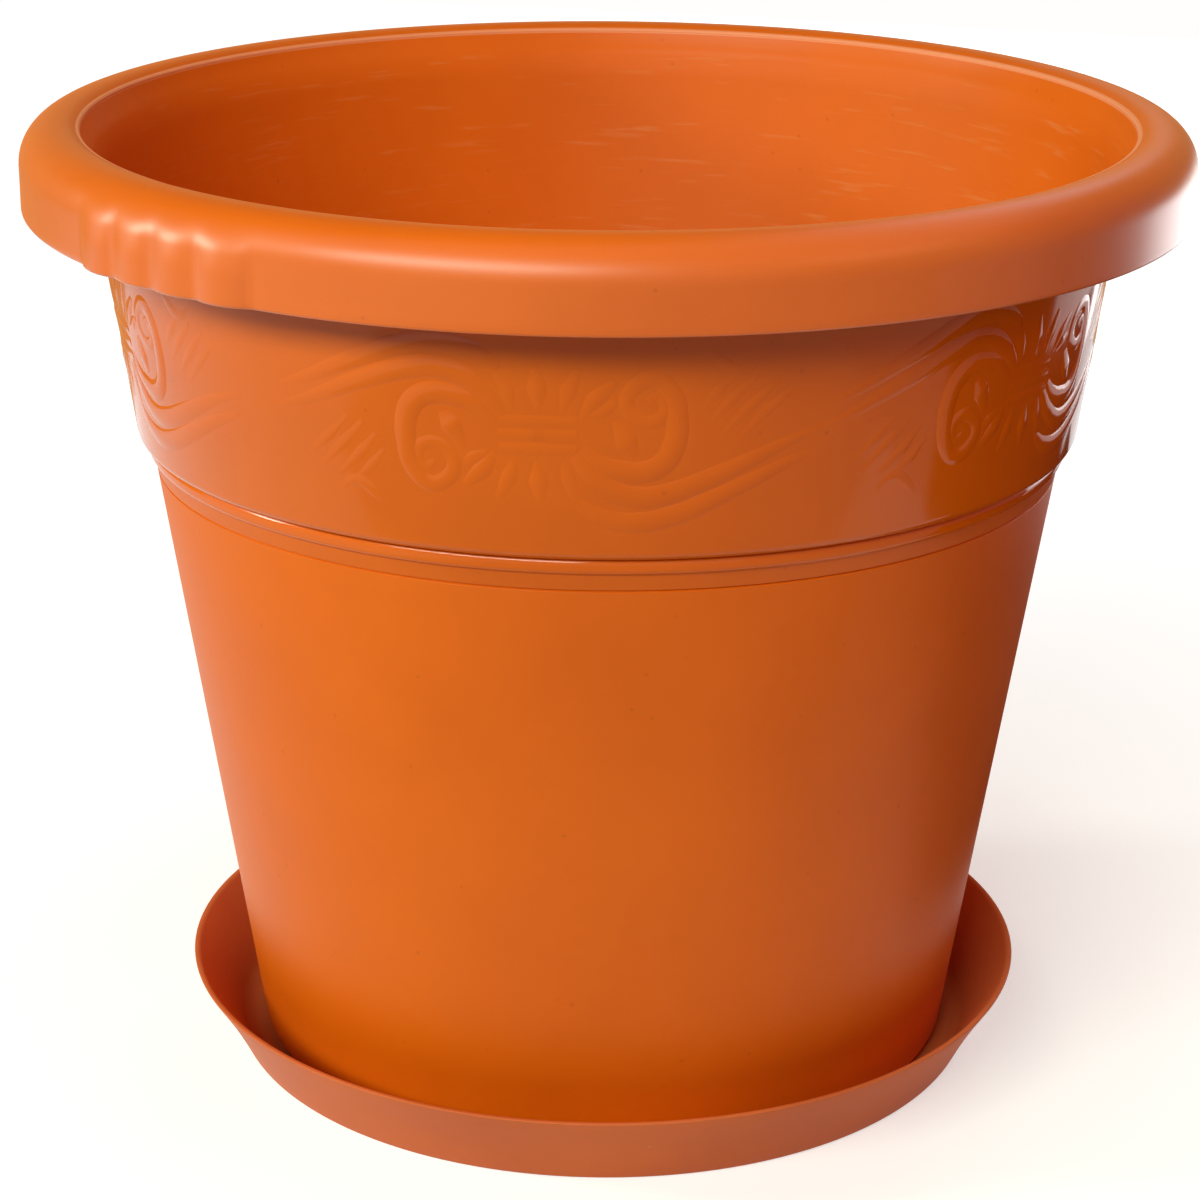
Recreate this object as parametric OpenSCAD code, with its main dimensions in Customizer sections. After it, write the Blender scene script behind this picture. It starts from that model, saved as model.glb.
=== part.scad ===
// Round moulded flower pot with a hooked rim and finger grips, standing loose in its drip saucer.
// Millimetres, +Z up, origin under the middle of the saucer. The front of the pot faces -Y.

/* [Pot body] */
// Height of the pot from its foot to the crown of its rim
pot_h = 291; // [260:1:360]
// Outside diameter of the foot
foot_d = 220; // [190:1:236]
// Thickness of the moulded wall
wall_t = 2.8; // [2:0.1:4]
// Thickness of the base plate
base_t = 3; // [2:0.1:5]
// Height of the base plate above the foot
base_lift = 6; // [3:0.5:12]
// Radius of the inside corner between base and wall
base_fillet = 6; // [3:0.5:10]

/* [Drain holes] */
// Number of drain holes in the base plate
drain_count = 8; // [3:1:12]
// Diameter of a drain hole
drain_d = 10; // [5:0.5:14]
// Diameter of the circle that the drain holes lie on
drain_circle_d = 140; // [90:1:160]

/* [Rolled rim] */
// Outside diameter over the rolled rim
rim_d = 350; // [336:1:380]
// Width of the roll from the mouth to its outside face
rim_w = 23; // [18:0.5:28]
// Height of the roll from its lower edge to its crown
rim_h = 24.8; // [22:0.1:36]
// Lean of the flat inside the mouth that ends in the lip, in degrees from upright
lip_lean = 28.7; // [20:0.1:40]

/* [Finger grips] */
// Number of grips, spaced evenly round the rim
grip_count = 2; // [1:1:4]
// Direction of the first grip, in degrees from the front, clockwise seen from above
grip_angle = 42; // [0:1:90]
// Number of flutes in each grip
flute_count = 4; // [2:1:6]
// Width of one flute, from crease to crease
flute_w = 17; // [14:0.5:20]
// Height of a flute above the face of the rim
flute_proud = 2; // [1.6:0.1:3]
// Radius across the rounded face of a flute
flute_r = 20; // [17:0.5:26]
// Radius of the rounded top end of a flute
flute_top_r = 8; // [6:0.5:10]
// Height of the middle of that rounded end, below the middle of the roll
flute_top_drop = 1; // [0:0.5:6]

/* [Ornament band] */
// Height of the band, from the lower edge of the rim to the underside of the band
band_h = 70; // [50:0.1:90]
// Lean of the band from upright, in degrees
band_draft = 7.7; // [5:0.1:10]
// Radius of the round along the band's lower edge
band_edge_r = 2.8; // [1:0.1:3]
// How far the wall lies behind the band
step_in = 3.6; // [3.2:0.1:6]
// Radius of the bead under the band
bead_r = 2.2; // [1.5:0.1:3]
// Height of the bead above the wall
bead_proud = 1.2; // [0.6:0.1:1.4]
// Radius of the fine groove under the bead
groove_r = 0.8; // [0.4:0.1:1.2]
// Distance from the middle of the bead down to the groove
groove_drop = 7.8; // [4:0.1:14]

/* [Saucer] */
// Height of the saucer
saucer_h = 26; // [16:0.5:40]
// Thickness of the saucer's floor and wall
saucer_t = 2; // [1.5:0.1:3]
// Room on the floor between the foot of the pot and the saucer's wall
saucer_gap = 6; // [3:0.5:20]
// How far the wall leans out between the base and the edge
saucer_flare = 15; // [6:0.1:24]
// Depth of the hollow curve in the wall
saucer_bow = 1; // [0.5:0.1:2]
// Height of the floor's underside above the foot ring
saucer_recess = 1; // [0.5:0.1:3]
// Width of the foot ring under the saucer
saucer_ring_w = 9; // [5:0.5:20]
// Number of ribs on the floor that hold the pot clear of the water
rib_count = 8; // [3:1:16]
// Width of a rib
rib_w = 3; // [2:0.5:6]
// Height of a rib
rib_h = 1.5; // [0.5:0.1:4]
// Length of a rib
rib_len = 60; // [20:1:80]

/* [Hidden] */
$fn = 180;
joint_lap = 0.5; // depth to which a rib is rooted in the floor
foot_r = foot_d / 2;
rim_r = rim_d / 2;
roll_r = rim_w / 2;
roll_z = pot_h - roll_r;
roll_mid_r = rim_r - roll_r;
mouth_r = rim_r - rim_w;
skirt_z = pot_h - rim_h;
band_z = skirt_z - band_h;
step_rise = 1.5 * step_in;
bead_z = band_z - bead_r;
groove_z = bead_z - groove_drop;
base_top_z = base_lift + base_t;
wall_lean = (band_r(band_z) - step_in - foot_r) / band_z;
saucer_base_r = foot_r + saucer_gap + saucer_t;
saucer_floor_z = saucer_recess + saucer_t;
seat_z = saucer_floor_z + rib_h;
bow_chord = norm([saucer_flare, saucer_h]);
bow_r = pow(bow_chord, 2) / (8 * saucer_bow) + saucer_bow / 2;
bow_reach = (bow_r - saucer_bow) / bow_chord;
bow_mid = [saucer_base_r + saucer_flare / 2 + saucer_h * bow_reach, saucer_h / 2 - saucer_flare * bow_reach];
flute_step = flute_w / rim_r * 180 / PI;
flute_mid_r = rim_r + flute_proud - flute_r;
pot_colour = "#c4571a";
saucer_colour = "#b5532a";

// Outside radius of the band at a height above the foot
function band_r(z) = mouth_r + wall_t - (roll_z - z) * tan(band_draft);

// Outside radius of the plain wall at a height above the foot
function wall_r(z) = foot_r + z * wall_lean;

// Straight runs of the wall, from the foot to the start of the roll
module wall_profile() {
    polygon([
        [wall_r(0) - wall_t, 0],
        [wall_r(0), 0],
        [wall_r(band_z), band_z],
        [band_r(band_z), band_z],
        [band_r(roll_z), roll_z],
        [mouth_r, roll_z],
        [band_r(band_z + step_rise) - wall_t, band_z + step_rise],
        [wall_r(band_z) - wall_t, band_z]
    ]);
}

// What the round takes off the band's lower edge
module band_edge_cut() {
    run = norm([1, tan(band_draft)]);
    mid_z = band_z + band_edge_r;
    mid_r = band_r(mid_z) - band_edge_r * run;
    difference() {
        polygon([
            [mid_r, band_z],
            [mid_r, band_z - bead_r],
            [band_r(band_z) + bead_r, band_z - bead_r],
            [mid_r + (band_edge_r + bead_r) / run, mid_z - (band_edge_r + bead_r) * tan(band_draft) / run],
            [mid_r + band_edge_r / run, mid_z - band_edge_r * tan(band_draft) / run]
        ]);
        translate([mid_r, mid_z]) circle(band_edge_r);
    }
}

// Bead tucked in under the band
module bead_profile() {
    intersection() {
        translate([wall_r(bead_z) + bead_proud - bead_r, bead_z]) circle(bead_r);
        translate([wall_r(bead_z) - wall_t / 2, bead_z - bead_r]) square([wall_t / 2 + bead_proud, 2 * bead_r]);
    }
}

// Base plate with the rounded inside corner where it meets the leaning wall
module base_profile() {
    run = norm([1, wall_lean]);
    mid_z = base_top_z + base_fillet;
    mid_r = wall_r(mid_z) - wall_t - base_fillet * run;
    translate([0, base_lift]) square([wall_r(base_lift) - wall_t / 2, base_t]);
    difference() {
        polygon([
            [mid_r, base_top_z],
            [wall_r(base_top_z) - wall_t, base_top_z],
            [mid_r + base_fillet / run, mid_z - base_fillet * wall_lean / run]
        ]);
        translate([mid_r, mid_z]) circle(base_fillet);
    }
}

// Half round of the rim, with the flat inside the mouth that ends in the lip
module rim_round(r) {
    intersection() {
        circle(r);
        translate([-r, 0]) square([2 * r, r]);
        translate([-r, 0]) rotate(-lip_lean) square(2 * r);
    }
}

// Hooked rim: the wall turns over in a half round and comes down again as an open skirt
module rim_profile() {
    translate([roll_mid_r, roll_z]) difference() {
        rim_round(roll_r);
        rim_round(roll_r - wall_t);
    }
    translate([rim_r - wall_t, skirt_z]) square([wall_t, roll_z - skirt_z]);
}

// Section through the crest of a flute, from the middle of the skirt outwards
module flute_profile() {
    difference() {
        union() {
            translate([rim_r + flute_proud - flute_top_r, roll_z - flute_top_drop]) circle(flute_top_r);
            translate([rim_r - wall_t, skirt_z])
                square([wall_t + flute_proud, roll_z - flute_top_drop - skirt_z]);
        }
        translate([roll_mid_r, roll_z]) circle(roll_r - wall_t / 2);
        translate([0, skirt_z - flute_top_r]) square([rim_r - wall_t / 2, roll_z - skirt_z + flute_top_r]);
    }
}

// One grip: rounded flutes side by side on the face of the rim
module finger_grip() {
    intersection() {
        rotate_extrude() flute_profile();
        for (i = [0 : flute_count - 1])
            rotate((i - (flute_count - 1) / 2) * flute_step)
                translate([flute_mid_r, 0, 0]) cylinder(r = flute_r, h = pot_h);
    }
}

module drain_holes() {
    for (i = [0 : drain_count - 1])
        rotate(i * 360 / drain_count)
            translate([drain_circle_d / 2, 0, 0]) cylinder(d = drain_d, h = base_top_z + base_t);
}

// The pot, one moulding from foot to rim
module pot() {
    color(pot_colour) translate([0, 0, seat_z]) {
        difference() {
            rotate_extrude() difference() {
                union() {
                    difference() {
                        wall_profile();
                        band_edge_cut();
                    }
                    bead_profile();
                    base_profile();
                    rim_profile();
                }
                translate([wall_r(groove_z), groove_z]) circle(groove_r);
            }
            drain_holes();
        }
        for (i = [0 : grip_count - 1])
            rotate(-90 - grip_angle + i * 360 / grip_count) finger_grip();
    }
}

// Saucer wall: an even thickness that leans out in a shallow hollow curve
module saucer_wall_profile() {
    intersection() {
        translate(bow_mid) difference() {
            circle(bow_r + saucer_t);
            circle(bow_r);
        }
        translate([saucer_base_r - saucer_gap, 0]) square([saucer_gap + saucer_flare + saucer_t, saucer_h]);
    }
}

// Drip saucer with a foot ring below and ribs on its floor
module saucer() {
    color(saucer_colour) {
        rotate_extrude() {
            saucer_wall_profile();
            translate([0, saucer_recess]) square([saucer_base_r - saucer_t / 2, saucer_t]);
            translate([saucer_base_r - saucer_ring_w, 0])
                square([saucer_ring_w - saucer_t / 2, saucer_recess + saucer_t]);
        }
        for (i = [0 : rib_count - 1])
            rotate(i * 360 / rib_count)
                translate([foot_r - rib_len, -rib_w / 2, saucer_floor_z - joint_lap])
                    cube([rib_len, rib_w, rib_h + joint_lap]);
    }
}

saucer();
pot();
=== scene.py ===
"""Round moulded plant pot with a hooked rim and a scroll frieze, standing loose in its drip saucer.

Metres, +Z up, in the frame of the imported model. The front of the pot faces -Y.
"""
import math

import bmesh
import bpy
from mathutils import Matrix, Vector


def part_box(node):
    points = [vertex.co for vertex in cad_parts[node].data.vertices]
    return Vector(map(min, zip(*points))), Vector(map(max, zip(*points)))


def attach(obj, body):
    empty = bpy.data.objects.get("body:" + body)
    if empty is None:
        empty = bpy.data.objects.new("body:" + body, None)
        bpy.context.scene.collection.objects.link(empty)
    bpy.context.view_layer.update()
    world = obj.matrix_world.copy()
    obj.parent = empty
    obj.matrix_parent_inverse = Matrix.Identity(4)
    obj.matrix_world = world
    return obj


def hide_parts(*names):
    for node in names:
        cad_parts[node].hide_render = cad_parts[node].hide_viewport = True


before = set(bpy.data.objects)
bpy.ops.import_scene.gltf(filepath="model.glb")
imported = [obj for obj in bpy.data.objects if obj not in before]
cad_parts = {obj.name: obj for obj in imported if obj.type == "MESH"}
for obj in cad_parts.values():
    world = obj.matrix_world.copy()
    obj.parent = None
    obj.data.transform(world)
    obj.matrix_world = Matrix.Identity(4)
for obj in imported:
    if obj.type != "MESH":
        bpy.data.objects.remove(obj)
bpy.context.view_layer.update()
scene = bpy.context.scene


# Drip saucer
# A thin dish of matt plastic, moulded in one shot. Its wall leans out in a hollow curve, a foot ring
# keeps its floor off the table, and ribs on the floor hold the pot clear of the water.

_, saucer_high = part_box("saucer")
saucer_edge_r = saucer_high[0]
saucer_h = saucer_high[2]
saucer_t = 0.002
saucer_base_r = 0.118
saucer_floor_z = 0.003
saucer_recess = 0.001
saucer_ring_w = 0.009
saucer_ring_r = saucer_base_r - saucer_ring_w
saucer_bow = 0.001
saucer_mid_z = saucer_h / 2
saucer_mid_r = (saucer_base_r + saucer_edge_r) / 2 - saucer_bow
saucer_floor_round = 0.003
saucer_bow_round = 0.008
saucer_edge_round = 0.0008
saucer_foot_round = 0.0012
saucer_ring_round = 0.0004
saucer_recess_round = 0.0003
saucer_turn_steps = 90
rib_count = 8
rib_w = 0.003
rib_in_r = 0.050
rib_out_r = 0.110
rib_root_z = 0.0025
rib_top_z = 0.0045
rib_round = 0.0005


def whole(bm):
    """All the geometry of a bmesh."""
    return bm.verts[:] + bm.edges[:] + bm.faces[:]


def copied(bm, geometry):
    """Vertices of a copy of some geometry in the same bmesh."""
    copy = bmesh.ops.duplicate(bm, geom=geometry)["geom"]
    return [item for item in copy if isinstance(item, bmesh.types.BMVert)]


def edges_of(verts):
    """The edges that meet at some vertices, each once."""
    return list(dict.fromkeys(edge for vert in verts for edge in vert.link_edges))


def turn(bm, verts, angle):
    """Turns some vertices about Z."""
    bmesh.ops.rotate(bm, cent=(0, 0, 0), matrix=Matrix.Rotation(angle, 3, "Z"), verts=verts)


def turned_shell(profile, quarter_steps):
    """A bmesh turned about Z from corners of (radius, height, reach of the corner's round, segments of it).

    A quarter is spun and then copied round, which is much quicker than one full spin.
    """
    quarter_turn = math.pi / 2
    merge_reach = 1e-6
    bm = bmesh.new()
    corners = [bm.verts.new((radius, 0, height)) for radius, height, _, _ in profile]
    for start, end in zip(corners, corners[1:]):
        bm.edges.new((start, end))
    for corner, (_, _, reach, segments) in zip(corners, profile):
        if reach:
            bmesh.ops.bevel(bm, geom=[corner], offset=reach, offset_type="OFFSET", segments=segments,
                            profile=0.5, affect="VERTICES", material=-1, clamp_overlap=False)
    bmesh.ops.remove_doubles(bm, verts=bm.verts[:], dist=merge_reach)
    bmesh.ops.spin(bm, geom=bm.verts[:] + bm.edges[:], cent=(0, 0, 0), axis=(0, 0, 1), dvec=(0, 0, 0),
                   angle=quarter_turn, steps=quarter_steps, use_merge=False, use_duplicate=False)
    quarter = whole(bm)
    for turns in (1, 2, 3):
        turn(bm, copied(bm, quarter), turns * quarter_turn)
    bmesh.ops.remove_doubles(bm, verts=bm.verts[:], dist=merge_reach)
    return bm


def finished_piece(bm, name, sharp_degrees=40):
    """The bmesh as a smooth-shaded object at the origin, with every normal outwards."""
    bmesh.ops.recalc_face_normals(bm, faces=bm.faces[:])
    mesh = bpy.data.meshes.new(name)
    bm.to_mesh(mesh)
    bm.free()
    mesh.shade_smooth()
    mesh.set_sharp_from_angle(angle=math.radians(sharp_degrees))
    piece = bpy.data.objects.new(name, mesh)
    scene.collection.objects.link(piece)
    return piece


saucer_bm = turned_shell([
    (0, saucer_floor_z, 0, 0),
    (saucer_base_r - saucer_t, saucer_floor_z, saucer_floor_round, 6),
    (saucer_mid_r - saucer_t, saucer_mid_z, saucer_bow_round, 8),
    (saucer_edge_r - saucer_t, saucer_h, saucer_edge_round, 5),
    (saucer_edge_r, saucer_h, saucer_edge_round, 5),
    (saucer_mid_r, saucer_mid_z, saucer_bow_round, 8),
    (saucer_base_r, 0, saucer_foot_round, 5),
    (saucer_ring_r, 0, saucer_ring_round, 3),
    (saucer_ring_r, saucer_recess, saucer_recess_round, 3),
    (0, saucer_recess, 0, 0),
], saucer_turn_steps)
rib_size = (rib_out_r - rib_in_r, rib_w, rib_top_z - rib_root_z)
rib_middle = ((rib_in_r + rib_out_r) / 2, 0, (rib_top_z + rib_root_z) / 2)
for i in range(rib_count):
    rib = bmesh.ops.create_cube(saucer_bm, size=1)["verts"]
    bmesh.ops.scale(saucer_bm, vec=rib_size, verts=rib)
    bmesh.ops.translate(saucer_bm, vec=rib_middle, verts=rib)
    turn(saucer_bm, rib, i * 2 * math.pi / rib_count)
    bmesh.ops.bevel(saucer_bm, geom=edges_of(rib), offset=rib_round, segments=3, profile=0.5,
                    affect="EDGES", material=-1)
saucer = finished_piece(saucer_bm, "saucer_shell")


def feed(tree, value, socket):
    """Gives a socket its value: another socket, a plain number, or a colour."""
    if isinstance(value, bpy.types.NodeSocket):
        tree.links.new(value, socket)
    elif isinstance(value, tuple):
        socket.default_value = (*value, 1)
    else:
        socket.default_value = value


def mixed(tree, share, colour_a, colour_b):
    """Colour output that goes from one colour to another by a share."""
    mix = tree.nodes.new("ShaderNodeMix")
    mix.data_type = "RGBA"
    feed(tree, share, mix.inputs["Factor"])
    for name, colour in (("A", colour_a), ("B", colour_b)):
        feed(tree, colour, next(s for s in mix.inputs if s.name == name and s.type == "RGBA"))
    return next(s for s in mix.outputs if s.type == "RGBA")


def ranged(tree, value, low, high, to_low=0, to_high=1):
    """Value output that carries one span of numbers over to another, held at its ends."""
    node = tree.nodes.new("ShaderNodeMapRange")
    for name, number in (("From Min", low), ("From Max", high), ("To Min", to_low), ("To Max", to_high)):
        node.inputs[name].default_value = number
    feed(tree, value, node.inputs["Value"])
    return node.outputs["Result"]


def worked(tree, operation, first, second):
    """Output of a math node; each input may be a socket or a plain number."""
    node = tree.nodes.new("ShaderNodeMath")
    node.operation = operation
    feed(tree, first, node.inputs[0])
    feed(tree, second, node.inputs[1])
    return node.outputs["Value"]


def product(tree, first, *others):
    """Output of several sockets or numbers multiplied together."""
    for other in others:
        first = worked(tree, "MULTIPLY", first, other)
    return first


def noise(tree, place, scale, detail, roughness=0.5):
    """Noise output at a place; the scale may be a socket or a plain number."""
    node = tree.nodes.new("ShaderNodeTexNoise")
    feed(tree, place, node.inputs["Vector"])
    feed(tree, scale, node.inputs["Scale"])
    node.inputs["Detail"].default_value = detail
    node.inputs["Roughness"].default_value = roughness
    return node.outputs["Fac"]


def moulded_skin():
    """Node group for moulded plastic: cloudy pigment, fine grain, drag lines and dust, by object place."""
    cloud_scale = 14
    drag_stretch = (45, 45, 520)
    drag_span = (0.60, 0.78)
    dust_scale = 90
    dust_span = (0.07, 0.03)

    group = bpy.data.node_groups.new("moulded_skin", "ShaderNodeTree")
    group.interface.new_socket("Place", in_out="INPUT", socket_type="NodeSocketVector")
    group.interface.new_socket("Grain Scale", in_out="INPUT", socket_type="NodeSocketFloat")
    for name in ("Cloud", "Grain", "Drag", "Dust"):
        group.interface.new_socket(name, in_out="OUTPUT", socket_type="NodeSocketFloat")
    entry = group.nodes.new("NodeGroupInput")
    leave = group.nodes.new("NodeGroupOutput")
    place = entry.outputs["Place"]

    stretch = group.nodes.new("ShaderNodeMapping")
    stretch.inputs["Scale"].default_value = drag_stretch
    feed(group, place, stretch.inputs["Vector"])
    drag = noise(group, stretch.outputs["Vector"], scale=1, detail=4)
    dust = group.nodes.new("ShaderNodeTexVoronoi")
    dust.inputs["Scale"].default_value = dust_scale
    feed(group, place, dust.inputs["Vector"])

    feed(group, noise(group, place, cloud_scale, detail=5, roughness=0.55), leave.inputs["Cloud"])
    feed(group, noise(group, place, entry.outputs["Grain Scale"], detail=2), leave.inputs["Grain"])
    feed(group, ranged(group, drag, *drag_span), leave.inputs["Drag"])
    feed(group, ranged(group, dust.outputs["Distance"], *dust_span), leave.inputs["Dust"])
    return group


skin_group = moulded_skin()


def moulded_plastic(name, grain_scale):
    """A material with the moulded skin in it, its node tree, its place socket and the skin's outputs."""
    finish = bpy.data.materials.new(name)
    finish.use_nodes = True
    tree = finish.node_tree
    place = tree.nodes.new("ShaderNodeTexCoord").outputs["Object"]
    skin = tree.nodes.new("ShaderNodeGroup")
    skin.node_tree = skin_group
    skin.inputs["Grain Scale"].default_value = grain_scale
    feed(tree, place, skin.inputs["Place"])
    return finish, tree, place, skin.outputs


def grained(tree, grain, strength):
    """Normal output of a fine grain."""
    grain_depth = 0.0002
    bump = tree.nodes.new("ShaderNodeBump")
    bump.inputs["Strength"].default_value = strength
    bump.inputs["Distance"].default_value = grain_depth
    feed(tree, grain, bump.inputs["Height"])
    return bump.outputs["Normal"]


saucer_clay = (0.67, 0.155, 0.046)
saucer_clay_dark = (0.60, 0.128, 0.036)
saucer_cloud_span = (0.35, 0.65)
saucer_dust = (0.55, 0.30, 0.20)
saucer_dust_share = 0.4
cloud_span = (0.3, 0.7)
saucer_matt_span = (0.46, 0.58)

saucer_finish, tree, place, skin = moulded_plastic("saucer_matt_plastic", grain_scale=1500)
shader = tree.nodes["Principled BSDF"]
clay = mixed(tree, ranged(tree, skin["Cloud"], *saucer_cloud_span), saucer_clay_dark, saucer_clay)
clay = mixed(tree, product(tree, skin["Dust"], saucer_dust_share), clay, saucer_dust)
feed(tree, clay, shader.inputs["Base Color"])
feed(tree, ranged(tree, skin["Cloud"], *cloud_span, *saucer_matt_span), shader.inputs["Roughness"])
feed(tree, grained(tree, skin["Grain"], strength=0.12), shader.inputs["Normal"])
shader.inputs["Specular IOR Level"].default_value = 0.14
saucer.data.materials.append(saucer_finish)
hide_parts("saucer")
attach(saucer, "saucer")


# Pot
# One injection moulding in terracotta-orange plastic: a satin wall with a base plate and drain holes, a
# polished band and bead above a fine groove, and a hooked rim with finger grips, where the wall turns over.

pot_low, pot_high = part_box("pot")
foot_z = pot_low[2]
crown_z = pot_high[2]
rim_r = pot_high[0]
wall_t = 0.0028
foot_r = 0.110
foot_round = 0.0012
foot_inner_round = 0.0010
base_lift = 0.006
base_t = 0.003
base_under_z = foot_z + base_lift
base_top_z = base_under_z + base_t
base_fillet = 0.006
base_under_round = 0.0015
plate_r = 0.082
drain_count = 8
drain_r = 0.005
drain_circle_r = 0.070
rim_w = 0.023
rim_h = 0.0248
roll_r = rim_w / 2
roll_z = crown_z - roll_r
roll_mid_r = rim_r - roll_r
hook_r = roll_r - wall_t
rounds_apart = 0.0001  # keeps the full rounds of the roll and the hook clear of the rounds beside them
mouth_r = rim_r - rim_w
mouth_round = 0.005
lip_lean = math.radians(28.7)
lip_along = math.cos(2 * lip_lean)
lip_up = math.sin(2 * lip_lean)
lip_r = roll_mid_r - roll_r * lip_along
lip_z = roll_z + roll_r * lip_up
lip_bead_foot = 0.0008
lip_bead_top = 0.00035
lip_bead_foot_round = 0.0002
lip_bead_top_round = 0.0003
crown_share = math.tan(math.pi / 4 - lip_lean)
crown_round = 0.0023
hook_crown_round = 0.0017
hook_lip_round = 0.0007
hook_root_round = 0.003
skirt_z = crown_z - rim_h
skirt_round = 0.0010
band_h = 0.070
band_z = skirt_z - band_h
band_slope = math.tan(math.radians(7.7))
band_edge_round = 0.0028
step_in = 0.0036
step_rise = 1.5 * step_in
step_round = 0.002
step_corner_round = 0.0003
bead_drop = 0.0026
bead_z = band_z - bead_drop
bead_half_h = 0.0025
bead_face_half_h = 0.0016
bead_proud = 0.0013
bead_round = 0.0010
bead_foot_round = 0.0002
groove_drop = 0.0100
groove_z = band_z - groove_drop
groove_half_h = 0.0004
groove_depth = 0.0008
groove_edge_round = 0.0001
groove_floor_round = 0.0002
pot_turn_steps = 150


def band_face_r(z):
    """Outside radius of the band at a height."""
    return mouth_r + wall_t - (roll_z - z) * band_slope


def wall_face_r(z):
    """Outside radius of the plain wall at a height."""
    lean = (band_face_r(band_z) - step_in - foot_r) / (band_z - foot_z)
    return foot_r + (z - foot_z) * lean


def lip_bead(side, rise):
    """Profile point of the lip's bead, at a distance from the lip and a rise above the surface.

    A distance below zero goes down the flat inside the mouth, and one above zero goes on over the roll.
    """
    along_r, along_z = (-math.sin(lip_lean), -math.cos(lip_lean)) if side < 0 else (lip_up, lip_along)
    out_r, out_z = (along_z, -along_r) if side < 0 else (-along_z, along_r)
    return lip_r + along_r * abs(side) + out_r * rise, lip_z + along_z * abs(side) + out_z * rise


pot_bm = turned_shell([
    # inside, from the base plate up to the mouth
    (plate_r, base_top_z, 0, 0),
    (wall_face_r(base_top_z) - wall_t, base_top_z, base_fillet, 6),
    (wall_face_r(band_z) - wall_t, band_z, step_round, 4),
    (band_face_r(band_z + step_rise) - wall_t, band_z + step_rise, step_round, 4),
    (mouth_r, roll_z, mouth_round, 6),
    # fine bead along the lip
    (*lip_bead(-lip_bead_foot, 0), lip_bead_foot_round, 1),
    (*lip_bead(-lip_bead_top, lip_bead_top), lip_bead_top_round, 3),
    (*lip_bead(lip_bead_top, lip_bead_top), lip_bead_top_round, 3),
    (*lip_bead(lip_bead_foot, 0), lip_bead_foot_round, 1),
    # over the roll, down the skirt and back up under the hook
    (roll_mid_r - roll_r * crown_share, crown_z, crown_round, 6),
    (rim_r, crown_z, roll_r - rounds_apart, 20),
    (rim_r, skirt_z, skirt_round, 4),
    (rim_r - wall_t, skirt_z, skirt_round, 4),
    (rim_r - wall_t, roll_z + hook_r, hook_r - rounds_apart, 8),
    (roll_mid_r - hook_r * crown_share, roll_z + hook_r, hook_crown_round, 4),
    (roll_mid_r - hook_r * lip_along, roll_z + hook_r * lip_up, hook_lip_round, 3),
    (band_face_r(roll_z), roll_z, hook_root_round, 3),
    # band, bead and groove
    (band_face_r(band_z), band_z, band_edge_round, 6),
    (wall_face_r(band_z), band_z, step_corner_round, 3),
    (wall_face_r(bead_z + bead_half_h), bead_z + bead_half_h, 0, 0),
    (wall_face_r(bead_z) + bead_proud, bead_z + bead_face_half_h, bead_round, 4),
    (wall_face_r(bead_z) + bead_proud, bead_z - bead_face_half_h, bead_round, 4),
    (wall_face_r(bead_z - bead_half_h), bead_z - bead_half_h, bead_foot_round, 2),
    (wall_face_r(groove_z + groove_half_h), groove_z + groove_half_h, groove_edge_round, 2),
    (wall_face_r(groove_z) - groove_depth, groove_z, groove_floor_round, 2),
    (wall_face_r(groove_z - groove_half_h), groove_z - groove_half_h, groove_edge_round, 2),
    # foot and underside
    (foot_r, foot_z, foot_round, 5),
    (foot_r - wall_t, foot_z, foot_inner_round, 4),
    (wall_face_r(base_under_z) - wall_t, base_under_z, base_under_round, 4),
    (plate_r, base_under_z, 0, 0),
], pot_turn_steps)

# The skirt of the rim is cut into rings, so that the grips have vertices to be drawn out from.
touching = 1e-5
skirt_run = 0.005
skirt_cuts = 7
skirt_edges = [edge for edge in pot_bm.edges
               if all(abs(vert.co.xy.length - rim_r) < touching for vert in edge.verts)
               and abs(edge.verts[0].co.z - edge.verts[1].co.z) > skirt_run]
bmesh.ops.subdivide_edges(pot_bm, edges=skirt_edges, cuts=skirt_cuts, use_grid_fill=True)

grip_count = 2
first_grip = math.radians(-43.5)
flute_count = 4
flute_proud = 0.0025
flute_r = 0.020
flute_mid_r = rim_r + flute_proud - flute_r
flute_step = math.radians(5.5)
flute_head = math.radians(45)
flute_full = math.radians(-32)
rim_skin = 0.0005  # depth to which a vertex counts as on the outside of the rim


def flute_height(across, lift):
    """How far the flutes stand out at an angle from the middle of their grip and an angle up the roll."""
    crest = (flute_count - 1) / 2
    nearest = min(max(round(across / flute_step + crest), 0), flute_count - 1) - crest
    away = across - nearest * flute_step
    half_chord_squared = flute_r ** 2 - (flute_mid_r * math.sin(away)) ** 2
    if half_chord_squared <= 0 or math.cos(away) <= 0:
        return 0
    rounded = flute_mid_r * math.cos(away) + math.sqrt(half_chord_squared)
    share = min(max((flute_head - lift) / (flute_head - flute_full), 0), 1)
    return max(rounded - rim_r, 0) * share * share * (3 - 2 * share)


for vert in pot_bm.verts:
    reach = math.hypot(vert.co.x, vert.co.y)
    above_roll = vert.co.z - roll_z
    on_roll = above_roll > 0 and math.hypot(reach - roll_mid_r, above_roll) > roll_r - rim_skin
    on_skirt = above_roll <= 0 and vert.co.z > skirt_z - rim_skin and reach > rim_r - skirt_round
    if reach < roll_mid_r or not (on_roll or on_skirt):
        continue
    lift = math.atan2(above_roll, reach - roll_mid_r) if on_roll else above_roll / roll_r
    lean = max(lift, 0)
    heading = math.atan2(vert.co.x, -vert.co.y)
    for i in range(grip_count):
        grip = first_grip + i * 2 * math.pi / grip_count
        drawn = flute_height((heading - grip + math.pi) % (2 * math.pi) - math.pi, lift)
        vert.co.xy *= 1 + drawn * math.cos(lean) / reach
        vert.co.z += drawn * math.sin(lean)

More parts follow.
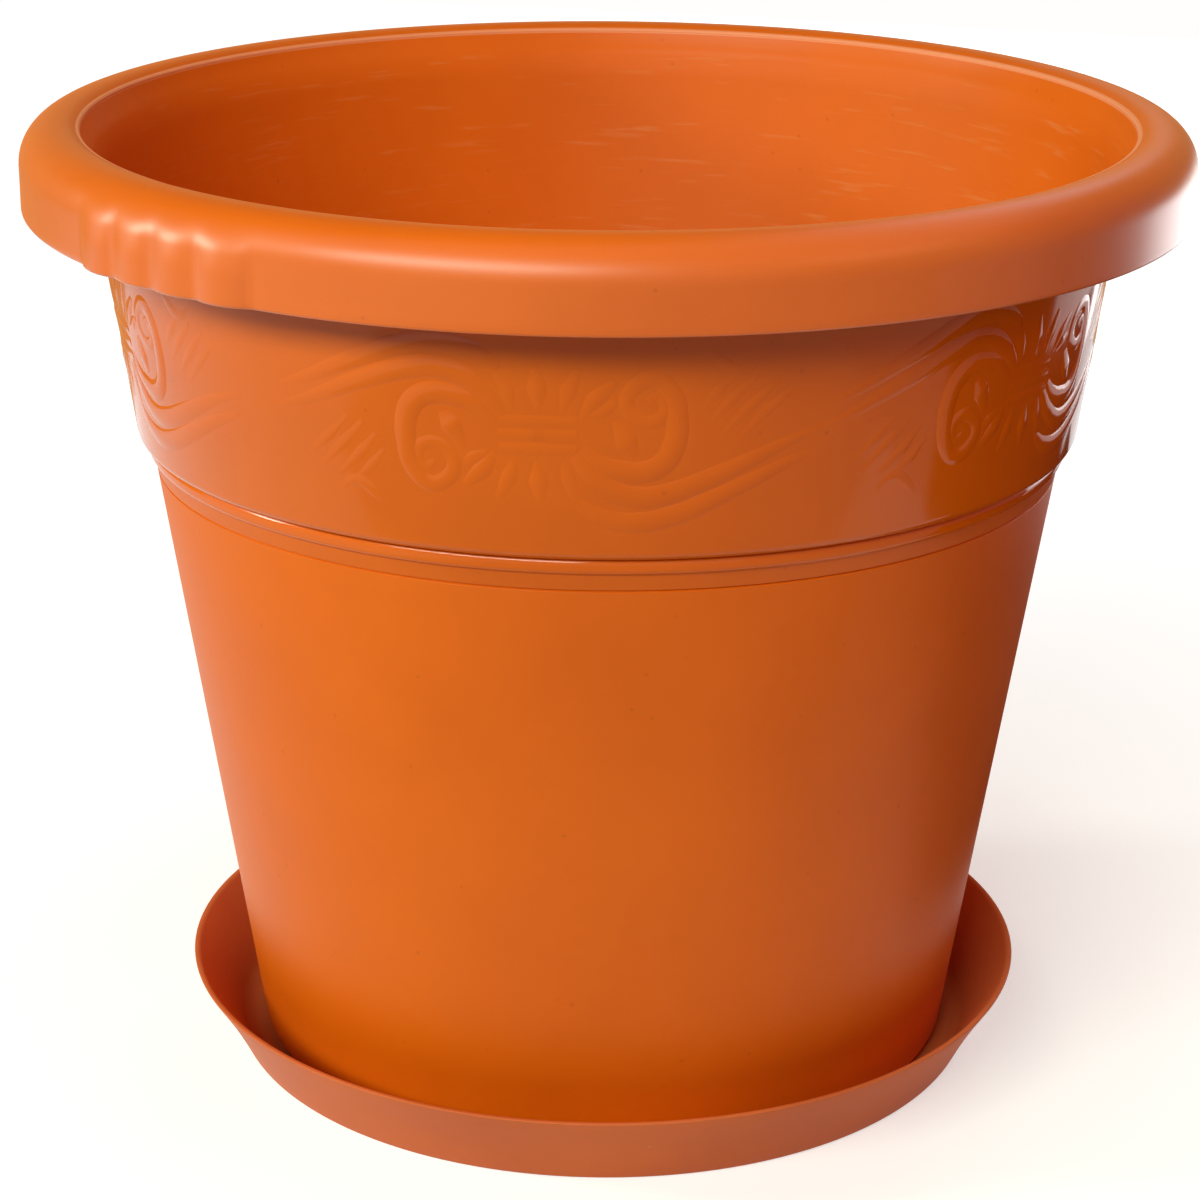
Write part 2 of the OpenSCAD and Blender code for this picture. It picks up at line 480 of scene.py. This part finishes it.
# The base plate is filled in round its drain holes, above and below, and each hole gets its wall.
drain_segments = 40
drain_spots = [Matrix.Rotation(i * 2 * math.pi / drain_count, 2) @ Vector((drain_circle_r, 0))
               for i in range(drain_count)]
for plate_z in (base_top_z, base_under_z):
    plate_edges = [edge for edge in pot_bm.edges if edge.is_boundary
                   and all(abs(vert.co.z - plate_z) < touching for vert in edge.verts)]
    for spot in drain_spots:
        hole = bmesh.ops.create_circle(pot_bm, cap_ends=False, segments=drain_segments, radius=drain_r,
                                       matrix=Matrix.Translation((*spot, plate_z)))["verts"]
        plate_edges += edges_of(hole)
    bmesh.ops.triangle_fill(pot_bm, use_beauty=True, use_dissolve=False, edges=plate_edges)
open_edges = [edge for edge in pot_bm.edges if edge.is_boundary]
for spot in drain_spots:
    hole_edges = [edge for edge in open_edges if (edge.verts[0].co.xy - spot).length < 2 * drain_r]
    bmesh.ops.bridge_loops(pot_bm, edges=hole_edges)
pot = finished_piece(pot_bm, "pot_shell")

pot_orange = (0.72, 0.126, 0.0020)
pot_orange_deep = (0.65, 0.108, 0.0013)
pot_scuff = (0.70, 0.26, 0.09)
pot_scuff_share = 0.38
pot_speck = (0.36, 0.06, 0.006)
pot_speck_share = 0.3
pot_satin_span = (0.40, 0.47)
# The pale lip colour and its share and reach make a painted highlight along the bead of the lip.
lip_painted_highlight = (0.85, 0.31, 0.15)
lip_highlight_share = 0.8
lip_highlight_reach = 1.5 * lip_bead_foot
rim_smoothing = 0.10
band_smoothing = 0.33
inside_roughening = 0.13
rim_coat = 0.65
band_blend = 0.001
wall_blend = 0.0002
roll_blend = 0.002
rim_span = (0.002, 0.006)
skirt_span = (0.005, 0.007)
bead_span = (0.0003, 0.0006)

pot_finish, tree, place, skin = moulded_plastic("pot_gloss_plastic", grain_scale=1300)
shader = tree.nodes["Principled BSDF"]
parts = tree.nodes.new("ShaderNodeSeparateXYZ")
feed(tree, place, parts.inputs["Vector"])
height = parts.outputs["Z"]
level = tree.nodes.new("ShaderNodeCombineXYZ")
feed(tree, parts.outputs["X"], level.inputs["X"])
feed(tree, parts.outputs["Y"], level.inputs["Y"])
from_axis = tree.nodes.new("ShaderNodeVectorMath")
from_axis.operation = "LENGTH"
feed(tree, level.outputs["Vector"], from_axis.inputs[0])
radius = from_axis.outputs["Value"]

# The polished band is told from the satin wall by height, and the outside from the inside by radius.
on_band = ranged(tree, height, band_z - band_blend, band_z)
wall_face = ranged(tree, height, foot_z, band_z, foot_r, wall_face_r(band_z))
band_face = ranged(tree, height, band_z, roll_z, band_face_r(band_z), band_face_r(roll_z))
face = tree.nodes.new("ShaderNodeMix")
feed(tree, on_band, face.inputs["Factor"])
feed(tree, wall_face, face.inputs["A"])
feed(tree, band_face, face.inputs["B"])
proud = worked(tree, "SUBTRACT", radius, face.outputs["Result"])
outside = ranged(tree, proud, -wall_t / 2 - wall_blend, -wall_t / 2 + wall_blend)
inside = worked(tree, "SUBTRACT", 1, outside)
on_rim = ranged(tree, proud, *rim_span)
clear_of_skirt = ranged(tree, proud, *skirt_span, 1, 0)
under_roll = ranged(tree, height, roll_z - roll_blend, roll_z, 1, 0)
off_wall = ranged(tree, worked(tree, "SUBTRACT", radius, wall_face), *bead_span)
on_bead = product(tree, worked(tree, "SUBTRACT", 1, on_band), off_wall)
polished = worked(tree, "MAXIMUM", product(tree, on_band, outside, under_roll, clear_of_skirt), on_bead)

# A pale colour is painted along the bead of the lip: a painted highlight line on its edge, where light
# catches it.
from_lip_r = worked(tree, "SUBTRACT", radius, lip_r)
from_lip_z = worked(tree, "SUBTRACT", height, lip_z)
from_lip_squared = worked(tree, "ADD", product(tree, from_lip_r, from_lip_r),
                          product(tree, from_lip_z, from_lip_z))
painted_lip_highlight = ranged(tree, from_lip_squared, lip_bead_foot ** 2, lip_highlight_reach ** 2, lip_highlight_share, 0)

orange = mixed(tree, ranged(tree, skin["Cloud"], *cloud_span), pot_orange_deep, pot_orange)
orange = mixed(tree, product(tree, skin["Drag"], inside, pot_scuff_share), orange, pot_scuff)
orange = mixed(tree, product(tree, skin["Dust"], pot_speck_share), orange, pot_speck)
# Painted highlight: the bead of the lip is turned pale.
orange = mixed(tree, painted_lip_highlight, orange, lip_painted_highlight)
feed(tree, orange, shader.inputs["Base Color"])

satin = ranged(tree, skin["Cloud"], *cloud_span, *pot_satin_span)
smoothing = worked(tree, "MAXIMUM", product(tree, on_rim, rim_smoothing),
                   product(tree, polished, band_smoothing))
smoothed = worked(tree, "SUBTRACT", satin, smoothing)
roughening = product(tree, inside, inside_roughening)
feed(tree, worked(tree, "ADD", smoothed, roughening), shader.inputs["Roughness"])
feed(tree, product(tree, on_rim, rim_coat), shader.inputs["Coat Weight"])
unpolished = worked(tree, "SUBTRACT", 1, polished)
feed(tree, grained(tree, product(tree, skin["Grain"], unpolished), strength=0.10), shader.inputs["Normal"])
shader.inputs["Coat Roughness"].default_value = 0.40
shader.inputs["Specular IOR Level"].default_value = 0.22
pot.data.materials.append(pot_finish)
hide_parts("pot")
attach(pot, "pot")


# Scroll frieze
# A raised ornament of scrolls, bound leaves and feathers, moulded with the pot and polished with its band.
# Like units run round the pot; each is one half drawing and the same half turned over about its bars.

frieze_z = 0.2372
frieze_r = band_face_r(frieze_z)
frieze_swell = 50  # height of a strand at its crest, as a share of its half width squared, per metre
frieze_root_share = 0.4  # depth of a strand's hidden back, as a share of its half width
front_headings = (-72.5, -7, 52.7)
back_units = 3
back_step = (360 + front_headings[0] - front_headings[-1]) / (back_units + 1)
back_headings = [front_headings[-1] + back_step * (i + 1) for i in range(back_units)]

# Strands of the half drawing: points of (along, up, half width), in millimetres from the middle of the bars.
mm = 0.001
half_unit = (
    # bars that bind the leaves
    ((-10.5, 4, 1.5), (0, 4, 1.7), (10.5, 4, 1.5)),
    ((-10.5, 0, 1.5), (-5, 0, 1.7), (1, 0, 1.7)),
    # two running lines that arch over the scroll and fall away into a tail
    ((-10, 19, 1.5), (-16.5, 23, 2.6), (-26, 24.8, 3.1), (-37, 22.8, 3.1), (-47, 18.8, 2.9),
     (-57, 14.2, 2.4), (-67, 9.6, 1.8), (-76, 6.4, 0.8)),
    ((-9.4, 5.4, 1.4), (-12, 8.6, 2.4), (-15.5, 12.4, 2.9), (-20.5, 16.0, 3.1), (-27.5, 17.5, 3.2),
     (-36.5, 16.1, 3.2), (-45.5, 12.8, 3.0), (-54, 9.2, 2.6), (-63, 5.2, 2.0), (-71, 2.0, 1.4),
     (-78, 0, 0.8)),
    # scroll that winds down and curls up on itself
    ((-11.5, 3.2, 1.4), (-16, 7.4, 2.5), (-22.5, 9.8, 3.1), (-29.0, 10.0, 3.3), (-33.6, 7.4, 3.3),
     (-36.2, 2.0, 3.2), (-36.6, -5, 3.0), (-35.0, -12, 2.8), (-30.8, -16, 2.5), (-26, -14.6, 2.3),
     (-23.2, -10.0, 2.1), (-25.4, -5.6, 2.0), (-30.4, -4.2, 2.0), (-33.6, -7.6, 1.9), (-31.8, -11.2, 1.6),
     (-28.6, -9.8, 1.1)),
    # bud and tongue held in the scroll
    ((-25.4, 5.4, 1.5), (-23.4, 1.6, 3.1), (-20.6, -4.6, 1.2)),
    ((-20.6, -9.6, 0.9), (-17.6, -7.6, 2.1), (-13.6, -5.6, 1.0)),
    # leaves above the bars
    ((-6.8, 6.8, 0.8), (-8, 12.0, 2.0), (-10.4, 18.2, 1.5)),
    ((0.3, 7.2, 0.8), (0, 13.0, 2.7), (-0.3, 19.0, 1.2)),
    ((6.4, 7.0, 0.8), (8.2, 12.6, 2.3), (11, 18.6, 1.2)),
    ((11.6, 5.4, 0.9), (15.2, 10.4, 2.6), (20.4, 15.4, 1.2)),
    # feathers under the tail, and the hooked leaf at their foot
    ((-43.4, -8.0, 0.8), (-47.4, -12.6, 1.6), (-52.4, -17.2, 0.8)),
    ((-45.6, -3.6, 0.8), (-51.0, -9.8, 1.7), (-58.0, -16.4, 0.8)),
    ((-49.4, -0.4, 0.8), (-56.0, -7.4, 1.7), (-63.8, -14.8, 0.8)),
    ((-54.0, 0.8, 0.8), (-60.8, -6.0, 1.6), (-68.6, -12.8, 0.8)),
    ((-58, -21, 0.8), (-54.6, -18.4, 1.7), (-51.4, -18.2, 1.9), (-48.2, -20.4, 1.7), (-45.0, -23.4, 0.8)),
)

frieze_drawing = bpy.data.curves.new("frieze_drawing", "CURVE")
frieze_drawing.dimensions = "3D"
frieze_drawing.bevel_depth = mm
frieze_drawing.bevel_resolution = 4
frieze_drawing.resolution_u = 6
frieze_drawing.use_fill_caps = True
for strand in half_unit:
    spline = frieze_drawing.splines.new("BEZIER")
    spline.bezier_points.add(len(strand) - 1)
    for point, (along, up, half_w) in zip(spline.bezier_points, strand):
        point.co = (along * mm, up * mm, 0)
        point.radius = half_w
        point.handle_left_type = "AUTO"
        point.handle_right_type = "AUTO"
frieze_sketch = bpy.data.objects.new("frieze_sketch", frieze_drawing)
scene.collection.objects.link(frieze_sketch)
drawn_strands = frieze_sketch.evaluated_get(bpy.context.evaluated_depsgraph_get())
frieze_flat = bpy.data.meshes.new_from_object(drawn_strands)
frieze_bm = bmesh.new()
frieze_bm.from_mesh(frieze_flat)
bpy.data.objects.remove(frieze_sketch)
bpy.data.curves.remove(frieze_drawing)
bpy.data.meshes.remove(frieze_flat)

turn(frieze_bm, copied(frieze_bm, whole(frieze_bm)), math.pi)
first_unit = whole(frieze_bm)
for heading in (*front_headings[1:], *back_headings):
    away = math.radians(heading - front_headings[0]) * frieze_r
    bmesh.ops.translate(frieze_bm, vec=(away, 0, 0), verts=copied(frieze_bm, first_unit))
for vert in frieze_bm.verts:
    along, up, out = vert.co
    heading = math.radians(front_headings[0]) + along / frieze_r
    z = frieze_z + up
    reach = band_face_r(z) + (frieze_swell * out ** 2 if out > 0 else frieze_root_share * out)
    vert.co = (reach * math.sin(heading), -reach * math.cos(heading), z)
frieze = finished_piece(frieze_bm, "pot_frieze", sharp_degrees=60)
frieze.data.materials.append(pot_finish)
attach(frieze, "pot")


# Studio
# A pale floor that reads as white to the camera, a wide soft light from the front left, a smaller one from
# the left, and weak ones from above, the right and behind. Cards that only reflections see stand round them:
# dark, grey and bright ones at the right for the band, warm ones for the rim, and a dim one in front.

floor_half = 8
floor_near, floor_far = 0.22, 0.60
floor_near_grey = (0.70, 0.70, 0.70)
floor_far_grey = (0.30, 0.30, 0.30)
floor_glow_span = (0.55, 0.93)
sky_white = (1.0, 1.0, 1.0)
sky_warm = (1.0, 0.58, 0.40)
sky_light = 0.08


def seen_rays(tree):
    """1 for what the camera sees, directly, in a reflection or through glass, and 0 for other light."""
    sight = tree.nodes.new("ShaderNodeLightPath")
    shown = worked(tree, "MAXIMUM", sight.outputs["Is Camera Ray"], sight.outputs["Is Glossy Ray"])
    return worked(tree, "MAXIMUM", shown, sight.outputs["Is Transmission Ray"])


def bare_material(name):
    """A material with no shader in it yet, and its node tree."""
    paint = bpy.data.materials.new(name)
    paint.use_nodes = True
    paint.node_tree.nodes.remove(paint.node_tree.nodes["Principled BSDF"])
    return paint, paint.node_tree


floor_bm = bmesh.new()
bmesh.ops.create_grid(floor_bm, x_segments=1, y_segments=1, size=floor_half)
floor = finished_piece(floor_bm, "floor")
floor_paper, tree = bare_material("floor_paper")
paper = tree.nodes.new("ShaderNodeBsdfDiffuse")
glow = tree.nodes.new("ShaderNodeEmission")
glow.inputs["Color"].default_value = (1, 1, 1, 1)
both = tree.nodes.new("ShaderNodeAddShader")
feed(tree, paper.outputs["BSDF"], both.inputs[0])
feed(tree, glow.outputs["Emission"], both.inputs[1])
feed(tree, both.outputs["Shader"], tree.nodes["Material Output"].inputs["Surface"])
from_pot = tree.nodes.new("ShaderNodeVectorMath")
from_pot.operation = "LENGTH"
feed(tree, tree.nodes.new("ShaderNodeTexCoord").outputs["Object"], from_pot.inputs[0])
away = ranged(tree, from_pot.outputs["Value"], floor_near, floor_far)
feed(tree, mixed(tree, away, floor_near_grey, floor_far_grey), paper.inputs["Color"])
floor_glow = ranged(tree, away, 0, 1, *floor_glow_span)
feed(tree, product(tree, seen_rays(tree), floor_glow), glow.inputs["Strength"])
floor.data.materials.append(floor_paper)

world = bpy.data.worlds.new("studio")
scene.world = world
world.use_nodes = True
tree = world.node_tree
sky = tree.nodes["Background"]
shown = seen_rays(tree)
feed(tree, mixed(tree, shown, sky_warm, sky_white), sky.inputs["Color"])
feed(tree, ranged(tree, shown, 0, 1, sky_light, 1), sky.inputs["Strength"])


def soft_panel(name, spot, aim, size, watts, tint, mirrored=True):
    """Rectangular studio light at a spot, turned towards an aim point; reflections may leave it out."""
    lamp = bpy.data.lights.new(name, "AREA")
    lamp.shape = "RECTANGLE"
    lamp.size, lamp.size_y = size
    lamp.energy = watts
    lamp.color = tint
    holder = bpy.data.objects.new(name, lamp)
    towards = (Vector(aim) - Vector(spot)).to_track_quat("-Z", "Y")
    holder.matrix_world = Matrix.Translation(spot) @ towards.to_matrix().to_4x4()
    holder.visible_camera = False
    holder.visible_glossy = mirrored
    scene.collection.objects.link(holder)


soft_panel("light_key", spot=(-0.95, -1.68, 1.25), aim=(0, 0, 0.16), size=(1.7, 0.45), watts=42.5,
           tint=(0.87, 1.0, 0.86))
soft_panel("light_above", spot=(0.1, -0.1, 2.1), aim=(0, 0, 0.2), size=(0.6, 0.6), watts=8,
           tint=(1.0, 0.98, 0.92), mirrored=False)
soft_panel("light_left", spot=(-1.90, -0.08, 0.84), aim=(0, 0, 0.28), size=(0.34, 0.38), watts=15,
           tint=(0.88, 1.0, 0.82))
soft_panel("light_fill", spot=(1.3, -0.9, 1.05), aim=(0, 0, 0.18), size=(0.8, 0.8), watts=5.2,
           tint=(1.0, 0.40, 0.20))
soft_panel("light_back", spot=(0.5, 1.9, 0.3), aim=(0, 0, 0.15), size=(1.0, 0.4), watts=14,
           tint=(1.0, 0.98, 0.94), mirrored=False)


def reflection_card(name, corners, colour, strength):
    """Flat card with given corners that only reflections see."""
    card_bm = bmesh.new()
    bmesh.ops.contextual_create(card_bm, geom=[card_bm.verts.new(corner) for corner in corners])
    card = finished_piece(card_bm, name)
    paint, tree = bare_material(name)
    shine = tree.nodes.new("ShaderNodeEmission")
    shine.inputs["Color"].default_value = (*colour, 1)
    shine.inputs["Strength"].default_value = strength
    feed(tree, shine.outputs["Emission"], tree.nodes["Material Output"].inputs["Surface"])
    card.data.materials.append(paint)
    card.visible_camera = False
    card.visible_diffuse = False
    card.visible_transmission = False
    card.visible_shadow = False


def upright(start, end, low, high):
    """Corners of a card that stands between two points of the floor, from one height to another."""
    return (*start, low), (*end, low), (*end, high), (*start, high)


def laid(x_span, y_span, z):
    """Corners of a card that lies flat."""
    (left_x, right_x), (front_y, back_y) = x_span, y_span
    return (left_x, front_y, z), (right_x, front_y, z), (right_x, back_y, z), (left_x, back_y, z)


card_white = (1.0, 1.0, 1.0)
card_warm = (1.0, 0.52, 0.20)
dark_shine = 0.01
bright_shine = 4.5

# Corners of the cards on the floor: the dark ones stand just in front of the others at the right of the pot.
dark_front, dark_middle, dark_end = (0.40, -0.125), (0.40, 0.11), (0.40, 0.40)
side_start, side_front, side_middle, side_end = (0.41, -0.70), (0.41, -0.125), (0.41, 0.11), (0.41, 0.40)
far_start, far_end = (0.42, 0.52), (0.46, 0.85)
back_left, back_right = (-1.4, 0.45), (0.9, 0.85)
dark_top_z = 0.17
far_low_z = 0.05
bright_top_z = 0.25
back_top_z = 0.6
bright_corners = ((*side_middle, 0.145), (*side_end, 0.120),
                  (*side_end, bright_top_z), (*side_middle, bright_top_z))
top_corners = (*back_left, back_top_z), (0.2, 0.72, back_top_z), (0.2, -0.1, 1.7), (-1.4, -0.1, 1.7)
for card in (
    ("dark_card", upright(dark_front, dark_middle, 0, dark_top_z), card_white, dark_shine),
    ("dark_low_card", upright(dark_middle, dark_end, 0, 0.10), card_white, dark_shine),
    ("dark_floor_card", laid((0.17, 0.40), (-0.05, 0.50), 0.002), card_white, dark_shine),
    ("grey_card", upright(side_front, side_middle, dark_top_z, 0.60), card_white, 0.3),
    ("grey_front_card", upright(side_start, side_front, 0, 0.50), card_white, 0.55),
    ("bright_card", bright_corners, card_white, bright_shine),
    ("bright_far_card", upright(side_end, far_start, far_low_z, bright_top_z), card_white, bright_shine),
    ("pale_far_card", upright(far_start, far_end, far_low_z, bright_top_z), card_white, 1.0),
    ("warm_right_card", upright(side_middle, far_end, bright_top_z, 0.70), card_warm, 0.6),
    ("warm_back_card", upright(back_left, back_right, 0, back_top_z), card_warm, 0.7),
    ("warm_top_card", top_corners, card_warm, 0.35),
    ("dim_front_card", laid((-0.4, 1.5), (-2.6, -0.25), 0.001), card_white, 0.65),
):
    reflection_card(*card)

# The camera stands in front of the pot and above its rim, and looks down on it at the photograph's angle.
camera_spot = Vector((0, -0.9653, 0.4780))
camera_yaw = math.radians(-0.103)
camera_pitch = math.radians(19.305)
camera_roll = math.radians(0.356)
camera_lens = 97.233

ahead = Vector((math.sin(camera_yaw), math.cos(camera_yaw), 0))
right = Vector((math.cos(camera_yaw), -math.sin(camera_yaw), 0))
look = ahead * math.cos(camera_pitch) - Vector((0, 0, 1)) * math.sin(camera_pitch)
top = right.cross(look)
camera_x = right * math.cos(camera_roll) + top * math.sin(camera_roll)
camera_y = top * math.cos(camera_roll) - right * math.sin(camera_roll)
camera_turn = Matrix((camera_x, camera_y, -look)).transposed().to_4x4()
camera_data = bpy.data.cameras.new("camera")
camera_data.lens = camera_lens
camera_data.sensor_width = 36
camera_data.sensor_fit = "HORIZONTAL"
camera_data.clip_start = 0.01
camera = bpy.data.objects.new("camera", camera_data)
camera.matrix_world = Matrix.Translation(camera_spot) @ camera_turn
scene.collection.objects.link(camera)
scene.camera = camera
scene.view_settings.view_transform = "Standard"
